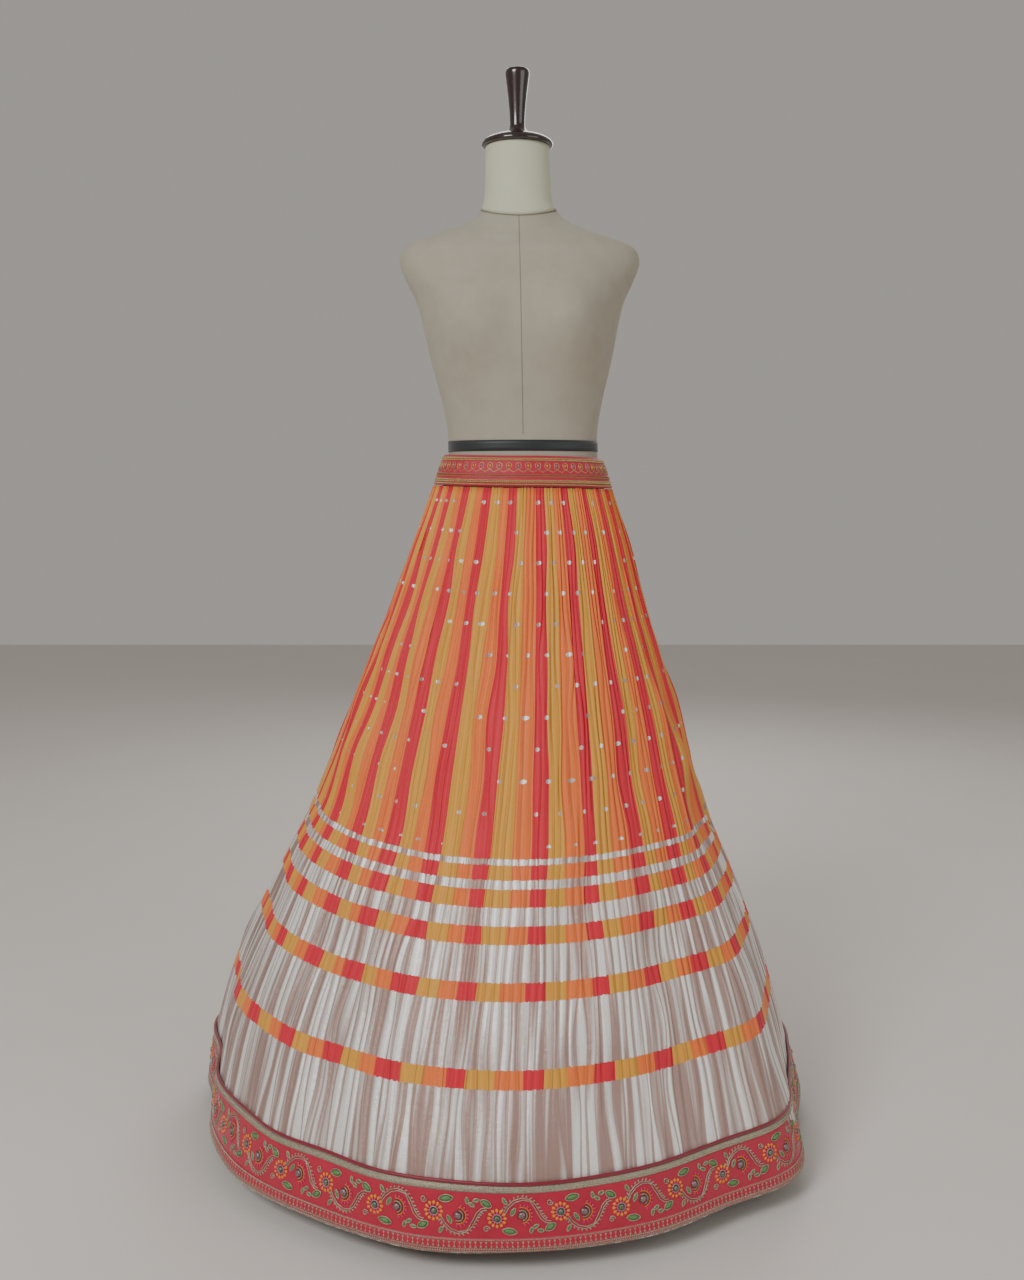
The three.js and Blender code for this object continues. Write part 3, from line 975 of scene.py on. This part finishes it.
# ------------------------------------------------------------------------------- sub-assemblies
@dataclass
class SkirtCloth:
    """The gathered front and back panels with their fine crushed pleats."""

    surface: SkirtSurface
    wall: float = 0.0009
    columns_per_pleat: int = 5
    rows: int = 76
    face: float = 0.72
    depth_at: tuple = (0.0, 0.06, 0.2, 0.5, 0.8, 0.93, 0.957, 1.049)
    depth_mm: tuple = (2.6, 3.4, 3.6, 3.2, 3.0, 2.0, 0.9, 0.3)

    def relief(
        self, pleat: np.ndarray, at: np.ndarray, seed: int
    ) -> tuple[np.ndarray, np.ndarray]:
        """Work out the pleats' height and how far each wanders sideways.

        Args:
            pleat: Place across, in pleats.
            at: Metres along the cloth.
            seed: Seed of the pleats' unevenness.

        Returns:
            The height in metres and the wander in pleats.
        """
        rng = np.random.default_rng(seed)
        count, steps = int(pleat.max()) + 3, 14
        number = np.floor(pleat + 1e-6).astype(int)
        phase = pleat + 1e-6 - number
        t = at / SKIRT_LENGTH * (steps - 2)
        low = np.floor(t).astype(int)
        mix = (t - low) ** 2 * (3 - 2 * (t - low))

        def uneven(table: np.ndarray, index: np.ndarray) -> np.ndarray:
            """Read a table of random values smoothly down the cloth."""
            return table[index, low] * (1 - mix) + table[index, low + 1] * mix

        amount = uneven(rng.uniform(0.35, 1.35, (count, steps)), number)
        nudge = rng.normal(0, 0.3, (count, steps))
        wander = uneven(nudge, number) * (1 - phase) + uneven(nudge, number + 1) * phase
        profile = np.where(phase < self.face, np.sin(phase / self.face * math.pi / 2),
                           np.cos((phase - self.face) / (1 - self.face) * math.pi / 2))
        depth = np.interp(at, self.depth_at, self.depth_mm) * MM
        wide = rng.normal(0, 1, (count // 6 + 3, steps))
        place = pleat / 6
        block = np.floor(place).astype(int)
        blend = (1 - np.cos((place - block) * math.pi)) / 2
        fold = uneven(wide, block) * (1 - blend) + uneven(wide, block + 1) * blend
        broad = fold * np.interp(at, (0, 0.2, 0.7, 0.93, 1.049), (0.0, 2.2, 3.4, 1.6, 0.6)) * MM
        return (profile * amount - 0.7) * depth + broad, wander

    def build(self, brocade: Material) -> None:
        """Make the two panels.

        Args:
            brocade: Their material.
        """
        pleats = PERIODS * FINE_PLEATS // 2
        for seed, (name, first) in enumerate(
            (("skirt_front_cloth", -0.25), ("skirt_back_cloth", 0.25))
        ):
            across = np.linspace(0, pleats, pleats * self.columns_per_pleat + 1)
            pleat, at = np.meshgrid(across, np.linspace(0, SKIRT_LENGTH, self.rows), indexing="ij")
            height, wander = self.relief(pleat, at, seed + 5)
            edge = np.clip(np.minimum(pleat, pleats - pleat) / 2, 0, 1)
            height = height * edge
            wander = wander * edge * np.interp(at, (0, 0.1, 1.0), (0.4, 1.0, 0.7))
            seam = 0.0002 / (2 * math.pi * 0.1)
            turns = first + seam + (pleat + wander) / pleats * (0.5 - 2 * seam)
            outer = self.surface.raised(turns, at, height)
            inner = self.surface.raised(turns, at, height - self.wall)
            obj = link_mesh(name, *shell(outer, inner))
            repeat = pleat / FINE_PLEATS + first * PERIODS + STRIPE_PHASE + PERIODS
            store_uv(obj, repeat, at)
            dress(obj, brocade, (name.replace("_cloth", ""),))


def spaced(band: Band, spacing: float, rows: tuple[tuple, ...]) -> list[tuple]:
    """Place small pieces evenly along a band.

    Args:
        band: The band.
        spacing: About how far apart they are.
        rows: Metres down, angle, length and width of each row of pieces.

    Returns:
        Places for Sewing.scatter.
    """
    count = int(band.length / spacing)
    return [(i * band.length / count, *row) for row in rows for i in range(count)]


@dataclass
class HemTrim:
    """Piping, border, laces and the raised floral embroidery round the hem."""

    surface: SkirtSurface
    sewing: Sewing
    units: int = 36
    unit: float = 0.083
    border: float = 0.087
    border_gap: float = 0.0005
    border_thick: float = 0.0012
    upper_lace: float = 0.009
    lower_lace: float = 0.019
    tape_thick: float = 0.0006
    cloth_top: float = 0.00175
    piping: float = 0.0024
    vine: float = 0.00075
    band: Band = field(init=False)

    # The motif, in mm from the unit's left and its middle line.
    FLOWER = (20, -3)
    FAN = (52, 1)
    TENDRIL = (6, -17)
    VINE = ((29, 6), (34, 14), (42, 21), (52, 24), (62, 22), (70, 15), (75, 6), (79, -2),
            (84, -7), (90, -8))
    VINE_INSIDE = ((1.5, -2.6),) * 5 + ((-2.6, -2.0),) * 3 + ((-1.0, -2.8),) * 2
    # Rings of small pieces: kind, centre, radius, first angle, step, count, extra turn, sizes.
    RINGS = (
        ("orange", FLOWER, 10.4, 0, 30, 12, 0, 5.6, 5.0),
        ("pink", FLOWER, 7.0, 0, 30, 12, 0, 4.4, 2.9),
        ("brown", FAN, 8.2, -75, 17, 11, 90, 3.6, 1.9),
        ("orange", FAN, 10.6, -75, 17, 11, 90, 3.6, 1.9),
        ("pink", FAN, 13.4, -72, 21, 9, 0, 4.2, 3.2),
    )
    # Leaves: across, up, angle, length and width.
    LEAVES = (
        (6, 16, 150, 15, 8), (36, -20, 172, 18, 8), (41, 6, 60, 11, 4.5), (70, -14, 30, 8, 4),
        (64, -19, 80, 8, 4), (76, -20, -10, 8, 4), (30, 20, 120, 9, 4),
    )
    # Stitches by kind: shape, and height above the border.
    KINDS = {
        "orange": (Stitch.PETAL, 0.0), "pink": (Stitch.PETAL, 0.0004),
        "sequin": (Stitch.PETAL, 0.0006), "leaf": (Stitch.BLADE, 0.0),
        "silver": (Stitch.BLADE, 0.0), "core": (Stitch.PETAL, 0.0),
        "brown": (Stitch.PETAL, 0.0004),
    }

    def __post_init__(self) -> None:
        """Lay out the flat band."""
        self.band = Band(self.surface, BORDER_START, self.unit * self.units)

    def build(self, looks: Looks) -> None:
        """Make every piece of the hem.

        Args:
            looks: Materials by name.
        """
        length, silver = self.band.length, looks["silver"]
        x = np.linspace(0, length, 721)[:-1]
        line = self.band.place(x, -self.piping, 0.0022)
        self.sewing.cords("hem_piping_cord", [line], self.piping, looks["piping"], "piping_satin",
                          10, True, ("hem_piping",))
        ground = self.band.strip("hem_border_silk", 0, self.border, self.border_gap,
                                 self.border_thick, rows=8)
        dress(ground, looks["border"], ("hem_border",))
        foot = self.border - self.lower_lace
        upper = self.lace("upper", 0.0004, self.upper_lace, (0.0022, 0.0068), silver, silver)
        cords = (0.0022, 0.0144, 0.0174)
        lower = self.lace("lower", foot, self.border, cords, looks["border"], silver)
        rows = ((foot + 0.0065, math.pi / 2, 0.0042, 0.0052),
                (foot + 0.0104, -math.pi / 2, 0.0042, 0.0052))
        self.sewing.scatter("hem_lace_wedges", self.band, spaced(self.band, 0.0068, rows),
                            Stitch.WEDGE, silver, 0.0024, "silver_lace")
        self.flowers(looks)

    def lace(self, which: str, top: float, bottom: float, cords: tuple[float, ...],
             ground: Material, silver: Material) -> Thing:
        """Make a lace tape with its twisted cords.

        Args:
            which: upper or lower.
            top: Its upper edge, metres down the border.
            bottom: Its lower edge.
            cords: Metres down the tape of each cord.
            ground: The tape's material.
            silver: The cords' material.

        Returns:
            The tape.
        """
        node = "hem_lace_" + which
        tape = self.band.strip(
            node + "_tape", top, bottom, self.cloth_top, self.tape_thick, rows=3
        )
        dress(tape, ground, (node,))
        rows = tuple((top + y, 0.75 if k % 2 else -0.75, 0.0046, 0.0034)
                     for k, y in enumerate(cords))
        self.sewing.scatter(node + "_cords", self.band, spaced(self.band, 0.0031, rows),
                            Stitch.BEAD, silver, 0.0022, "silver_lace")
        return tape

    def flowers(self, looks: Looks) -> None:
        """Make the vine, flowers, fans and leaves; every other unit is upside down.

        Args:
            looks: Materials by name.
        """
        middle = (self.upper_lace + self.border - self.lower_lace) / 2
        lines: list[np.ndarray] = []
        places: dict[str, list[tuple]] = {kind: [] for kind in self.KINDS}
        for n in range(self.units):
            side = 1 if n % 2 else -1
            left = n * self.unit

            def put(
                kind: str, x: float, y: float, degrees: float, long: float, wide: float
            ) -> None:
                """Add a small piece to the unit, its place and sizes in mm."""
                places[kind].append((left + x * MM, middle - side * y * MM,
                                     math.radians(degrees) * side, long * MM, wide * MM))

            def draw(points: np.ndarray) -> None:
                """Add a cord to the unit, its points in mm."""
                x, y = left + points[:, 0] * MM, middle - side * points[:, 1] * MM
                lines.append(self.band.place(x, y, self.cloth_top + 0.0006))

            put("sequin", *self.FLOWER, 0, 9.2, 9.2)
            put("core", *self.FAN, 35, 13, 11)
            for kind, (x, y), radius, first, step, count, extra, long, wide in self.RINGS:
                for degrees in range(first, first + step * count, step):
                    t = math.radians(degrees)
                    put(kind, x + radius * math.cos(t), y + radius * math.sin(t), degrees + extra,
                        long, wide)
            draw(arc(20, 3, 5.3, 0, 360, 18) * (1, -1))
            draw(arc(52, -1, 6.8, -80, 115, 12) * (1, -1))
            # The vine's arch: two cords with leaflets on its outer side.
            sweep = np.array(self.VINE)
            draw(sweep)
            draw(sweep + np.array(self.VINE_INSIDE))
            for start, step in zip(sweep[:8], np.diff(sweep, axis=0)):
                turn = math.degrees(math.atan2(step[1], step[0])) + 62
                out = 2.6 * np.array((math.cos(math.radians(turn)), math.sin(math.radians(turn))))
                for more in (0.0, 0.5):
                    put("silver", *(start + step * more + out), turn, 4.6, 2.4)
            for x, y, turn, long, wide in self.LEAVES:
                put("leaf", x, y, turn, long, wide)
                c, s = math.cos(math.radians(turn)), math.sin(math.radians(turn))
                rim = np.array(oval(12, long * 0.54, wide * 0.58, 0.5))[[*range(12), 0]]
                draw(rim @ np.array(((c, s), (-s, c))) + (x, y))
            coil = np.radians(np.linspace(0, 520, 16))
            size = np.linspace(4.6, 0.8, 16)[:, None]
            draw(size * np.stack([np.cos(coil), np.sin(coil)], -1) + self.TENDRIL)
        self.sewing.cords("hem_vine_cords", lines, self.vine, looks["silver"], "silver_lace")
        for kind, (stitch, height) in self.KINDS.items():
            slot = "silver_lace" if kind == "silver" else "border_silk"
            self.sewing.scatter(f"hem_{kind}_stitches", self.band, places[kind], stitch,
                                looks[kind], self.cloth_top + height, slot)


@dataclass
class Waistband:
    """The stiff waistband and its lace of cords, teardrops and chevron braid."""

    sewing: Sewing
    length: float = 0.756
    height: float = 0.046
    wall: float = 0.0022
    edge: float = 0.0015  # how much band shows above and below its lace
    drops: int = 56
    drops_at: float = 0.0152
    cloth_top: float = 0.0009
    spacing: float = 0.0026
    band: Band = field(init=False)

    # Metres down and lean of each row of beads.
    CORDS = ((0.0042, 0.7), (0.0066, -0.7), (0.0365, 0.7), (0.0388, -0.7), (0.0424, 0.7))
    BRAID = ((0.0282, 0.6), (0.0312, -0.6))

    def __post_init__(self) -> None:
        """Lay out the flat band."""
        self.band = Band(WaistSurface(), 0.0, self.length)

    def build(self, looks: Looks) -> None:
        """Make the band and its trim.

        Args:
            looks: Materials by name.
        """
        canvas = self.band.strip("waistband_silk", 0, self.height, -self.wall, self.wall, 160, 5)
        dress(canvas, looks["border"], ("waistband",))
        tape = self.band.strip("waist_trim_tape", self.edge, self.height - self.edge, 0.0003,
                               0.0006, 160, 5)
        dress(tape, looks["border"], ("waist_trim",))
        for name, rows, size, look in (
            ("waist_gold_cords", self.CORDS, (0.0040, 0.0034), "gold"),
            ("waist_chevron_braid", self.BRAID, (0.0052, 0.0024), "braid"),
        ):
            places = spaced(self.band, self.spacing, tuple((*row, *size) for row in rows))
            self.sewing.scatter(name, self.band, places, Stitch.BEAD, looks[look], self.cloth_top,
                                "gold_lace")
        step = self.length / self.drops
        for first, kind in enumerate(("drop_orange", "drop_pink")):
            places = [(step * (i + 0.5), self.drops_at, math.pi / 2, 0.0058, 0.0042)
                      for i in range(first, self.drops, 2)]
            self.sewing.scatter("waist_" + kind, self.band, places, Stitch.DROP, looks[kind],
                                self.cloth_top, "gold_lace")
        lines = []
        for i in range(self.drops):
            ring = arc(step * (i + 0.5), 0, 0.0038, -90, 270, 14)
            zigzag = np.array([(i, 0.0245), (i + 0.5, 0.0205), (i + 1, 0.0245)]) * (step, 1)
            for x, y in ((ring[:, 0], self.drops_at + ring[:, 1] * 1.25), zigzag.T):
                lines.append(self.band.place(x, y, 0.0014))
        self.sewing.cords("waist_thread_loops", lines, 0.0005, looks["gold"], "gold_lace")


@dataclass
class DressForm:
    """The limbless form: covered torso and neck, waist tape, wood cap and handle."""

    sewing: Sewing
    columns: int = 112
    lean_from: float = 1.06
    neck_top: float = 1.515
    lean: float = -0.009
    bust_apart: float = 0.084
    bust_height: float = 1.248
    bust_width: float = 0.058
    bust_tall: float = 0.066
    bust_out: float = 0.036
    neck_foot: float = 1.429
    dip: float = 0.024  # how far the neck seam dips at the front
    dip_from: float = 1.358

    # Radius and height of the wood pieces' rings, from the bottom up.
    CAP = (
        (0.052, 0), (0.0536, 0.001), (0.054, 0.0025), (0.0539, 0.0045), (0.0525, 0.0068),
        (0.0495, 0.009), (0.046, 0.011), (0.041, 0.0129), (0.036, 0.0145), (0.030, 0.0161),
        (0.024, 0.017),
    )
    GRIP = (
        (0.022, 0), (0.0195, 0.0012), (0.017, 0.0035), (0.0145, 0.0058), (0.0128, 0.008),
        (0.0117, 0.011), (0.0113, 0.014), (0.0114, 0.02), (0.0116, 0.026), (0.0123, 0.036),
        (0.0132, 0.046), (0.0145, 0.058), (0.016, 0.07), (0.0174, 0.080), (0.0182, 0.086),
        (0.0184, 0.0885), (0.018, 0.091), (0.0172, 0.0927), (0.016, 0.094), (0.0137, 0.095),
        (0.011, 0.0955),
    )

    def leaned(self, points: np.ndarray) -> np.ndarray:
        """Move points sideways with the form's slight lean."""
        share = np.maximum(points[..., 2] - self.lean_from, 0) / (self.neck_top - self.lean_from)
        points[..., 0] += self.lean * share
        return points

    def body_points(self, turn: np.ndarray, height: np.ndarray, grow: float = 0.0) -> np.ndarray:
        """Find points of the torso.

        Args:
            turn: Radians round from the front.
            height: Heights in metres, before the neck seam's dip.
            grow: Metres outwards.

        Returns:
            Points as an array ending in xyz.
        """
        rings = np.array(FORM_RINGS, float) * MM
        turn, height = np.broadcast_arrays(turn, height)
        width, front, back = (ring_value(rings, c, height) + grow for c in (1, 2, 3))
        ahead = np.cos(turn)
        x, z = width * np.sin(turn), height.copy()
        y = -np.where(ahead > 0, front, back) * ahead
        for middle in (-self.bust_apart, self.bust_apart):
            tall = (z - self.bust_height) / self.bust_tall
            bump = np.exp(-((x - middle) / self.bust_width) ** 2 - tall ** 2)
            y = y - self.bust_out * bump * np.sqrt(np.maximum(ahead, 0))
        share = np.clip((z - self.dip_from) / (self.neck_foot - self.dip_from), 0, 1)
        z = z - self.dip * ((1 + ahead) / 2) ** 2 * share
        return self.leaned(np.stack([x, y, z], -1))

    def build(self, looks: Looks) -> None:
        """Make the form's pieces.

        Args:
            looks: Materials by name.
        """
        turn = np.linspace(0, 2 * math.pi, self.columns + 1)[:-1]
        heights = np.unique(
            np.concatenate([np.linspace(0.77, 1.34, 60), np.linspace(1.34, 1.429, 26)])
        )
        body = stack_rings("form_body_cloth", self.body_points(turn[None, :], heights[:, None]))
        dress(body, looks["linen"], ("form_body",))
        rings = np.array(NECK_RINGS, float) * MM
        levels = np.linspace(rings[0, 0], rings[-1, 0], 22)
        grid = []
        for level in levels:
            width, front, back = (ring_value(rings, c, np.array(level)) for c in (1, 2, 3))
            ahead = np.cos(turn)
            dip = self.dip * ((1 + ahead) / 2) ** 2 * max(
                0.0, 1 - (level - levels[0]) / 0.05
            ) ** 1.5
            grid.append(
                np.stack(
                    [width * np.sin(turn), -np.where(ahead > 0, front, back) * ahead, level - dip],
                    -1
                )
            )
        dress(
            stack_rings("form_neck_cloth", self.leaned(np.array(grid))),
            looks["neck"], ("form_neck",)
        )
        seam = self.leaned(grid[0] * (1.006, 1.006, 1) + (0, 0, 0.0004))
        self.sewing.cords("form_neck_seam", [seam], 0.0007, looks["seam"], "form_linen", 6, True)
        down = np.linspace(1.085, 1.428, 40)
        seams = [self.body_points(np.full(40, angle), down, 0.0002) for angle in (0.0, math.pi)]
        self.sewing.cords("form_body_seams", seams, 0.0005, looks["seam"], "form_linen", 6)
        low = Vector((self.lean, 0, self.neck_top + 0.00035))
        dress(
            lathe("form_cap_wood", self.CAP, low), looks["wood"], ("form_neck_cap",)
        )
        dress(
            lathe("form_handle_wood", self.GRIP, low + Vector((0, 0, 0.01735))),
            looks["wood"], ("form_handle",)
        )
        around = np.linspace(-math.pi + 0.002, math.pi - 0.002, 129)
        levels = np.linspace(1.0765, 1.0605, 4)
        outer = self.body_points(around[:, None], levels[None, :], 0.0014)
        inner = self.body_points(around[:, None], levels[None, :], 0.0004)
        tape = link_mesh("form_waist_tape_cloth", *shell(outer, inner))
        dress(tape, looks["tape"], ("form_waist_tape",))
        for node in ("stand_collar", "stand_pole", "stand_base"):
            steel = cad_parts[node]
            steel.data.materials.clear()
            steel.data.materials.append(looks["steel"])


def finishes() -> Looks:
    """Make every finish on the object.

    Returns:
        Materials by name.
    """
    return {
        "brocade": BrocadeFinish().build(),
        "border": ClothFinish("border_dupion_silk", "C3123A", "A00C2C", Weave.SILK).build(),
        "piping": ClothFinish("piping_satin", "8E0F2B", "6E0A20", Weave.SATIN, 0.5, 0.4).build(),
        "linen": ClothFinish(
            "form_covering_cotton", "A9A594", "9A9182", Weave.COTTON, 0.6, 0.85
        ).build(),
        "neck": ClothFinish(
            "neck_covering_cotton", "C6C8AF", "BCBDA4", Weave.COTTON, 0.6, 0.8
        ).build(),
        "seam": ClothFinish("seam_thread", "8F8775", "7A7262", Weave.COTTON, 0.4, 0.9).build(),
        "tape": ClothFinish("waist_grosgrain", "1E2626", "141A1C", Weave.SATIN, 0.7, 0.5).build(),
        "silver": ThreadFinish("antique_silver_cord", "C9C0AA", "8D8371", 0.45, 0.38).build(),
        "gold": ThreadFinish("pale_gold_cord", "DCCB8F", "A28954", 0.5, 0.35).build(),
        "braid": ThreadFinish("copper_braid", "C29A72", "96633F", 0.4, 0.4).build(),
        "orange": ThreadFinish("orange_floss", "F29A42", "DE7A2E").build(),
        "pink": ThreadFinish("pink_floss", "E2467E", "C22A5A").build(),
        "brown": ThreadFinish("brown_floss", "7A4A34", "5E3626").build(),
        "leaf": ThreadFinish("leaf_green_floss", "6A9455", "47703F").build(),
        "sequin": ThreadFinish("grey_green_sequins", "8C9684", "4E5A4C", 0.6, 0.3).build(),
        "core": ThreadFinish("grey_pink_sequins", "A58C8C", "6E5A5C", 0.6, 0.3).build(),
        "drop_orange": ThreadFinish("orange_beads", "E89A3C", "C9742A", 0.1, 0.3).build(),
        "drop_pink": ThreadFinish("pink_grey_beads", "B98A9A", "8E5A70", 0.2, 0.3).build(),
        "wood": LacquerFinish("lacquered_rosewood", "2A0D10", "170708").build(),
        "steel": LacquerFinish("powder_coated_steel", "3A3B3E", "313235", 0.45, 0.0, 0.5).build(),
    }


@dataclass
class Studio:
    """Plain pale floor, soft lights and the camera."""

    distance: float = 2.005
    height: float = 1.013
    aside: float = -0.017
    pitch: float = 7.0
    floor: float = 6.0

    AIM = (0, 0, 0.6)
    # Area lights: name, place, power in watts and size in metres.
    LIGHTS = (("key", (-1.6, -2.6, 2.6), 75, 1.2), ("fill", (2.4, -2.0, 1.6), 20, 2.0),
              ("back", (0.5, 2.6, 2.4), 30, 2.0))

    def build(self) -> None:
        """Make the floor, lights and camera."""
        corners = np.array([(-1, -1, 0), (1, -1, 0), (1, 1, 0), (-1, 1, 0)]) * self.floor
        floor = link_mesh("floor", corners, [(0, 1, 2, 3)], False)
        material, tree, surface = new_material("pale_studio_floor")
        place = add_node(tree, "ShaderNodeTexCoord", out="Object")
        noise = add_node(tree, NOISE, {"Vector": place, "Scale": 3.0})
        colour = add_node(
            tree, "ShaderNodeMix", {0: noise, 6: linear("D9D4CE"), 7: linear("DDD8D2")}, 2,
            data_type="RGBA"
        )
        tree.links.new(colour, surface.inputs["Base Color"])
        surface.inputs["Roughness"].default_value = 0.9
        floor.data.materials.append(material)
        world = bpy.data.worlds.new("studio")
        bpy.context.scene.world = world
        world.use_nodes = True
        world.node_tree.nodes["Background"].inputs["Color"].default_value = linear("EFE9E2")
        world.node_tree.nodes["Background"].inputs["Strength"].default_value = 0.42
        for name, spot, power, size in self.LIGHTS:
            light = bpy.data.lights.new(name, "AREA")
            light.energy, light.size = power, size
            lamp = bpy.data.objects.new(name, light)
            lamp.location = spot
            aim = Vector(self.AIM) - lamp.location
            lamp.rotation_euler = aim.to_track_quat("-Z", "Y").to_euler()
            bpy.context.scene.collection.objects.link(lamp)
        data = bpy.data.cameras.new("camera")
        data.lens, data.sensor_width = 36.0, 36.0
        camera = bpy.data.objects.new("camera", data)
        camera.location = (self.aside, -self.distance, self.height)
        camera.rotation_euler = (math.radians(90 - self.pitch), 0, 0)
        bpy.context.scene.collection.objects.link(camera)
        bpy.context.scene.camera = camera


def main() -> None:
    """Build the object and its studio, and log each piece's face count."""
    logging.basicConfig(level=logging.INFO)
    Studio().build()
    looks = finishes()
    surface, sewing = SkirtSurface(), Sewing()
    SkirtCloth(surface).build(looks["brocade"])
    HemTrim(surface, sewing).build(looks)
    Waistband(sewing).build(looks)
    DressForm(sewing).build(looks)


if __name__ == "__main__":
    main()
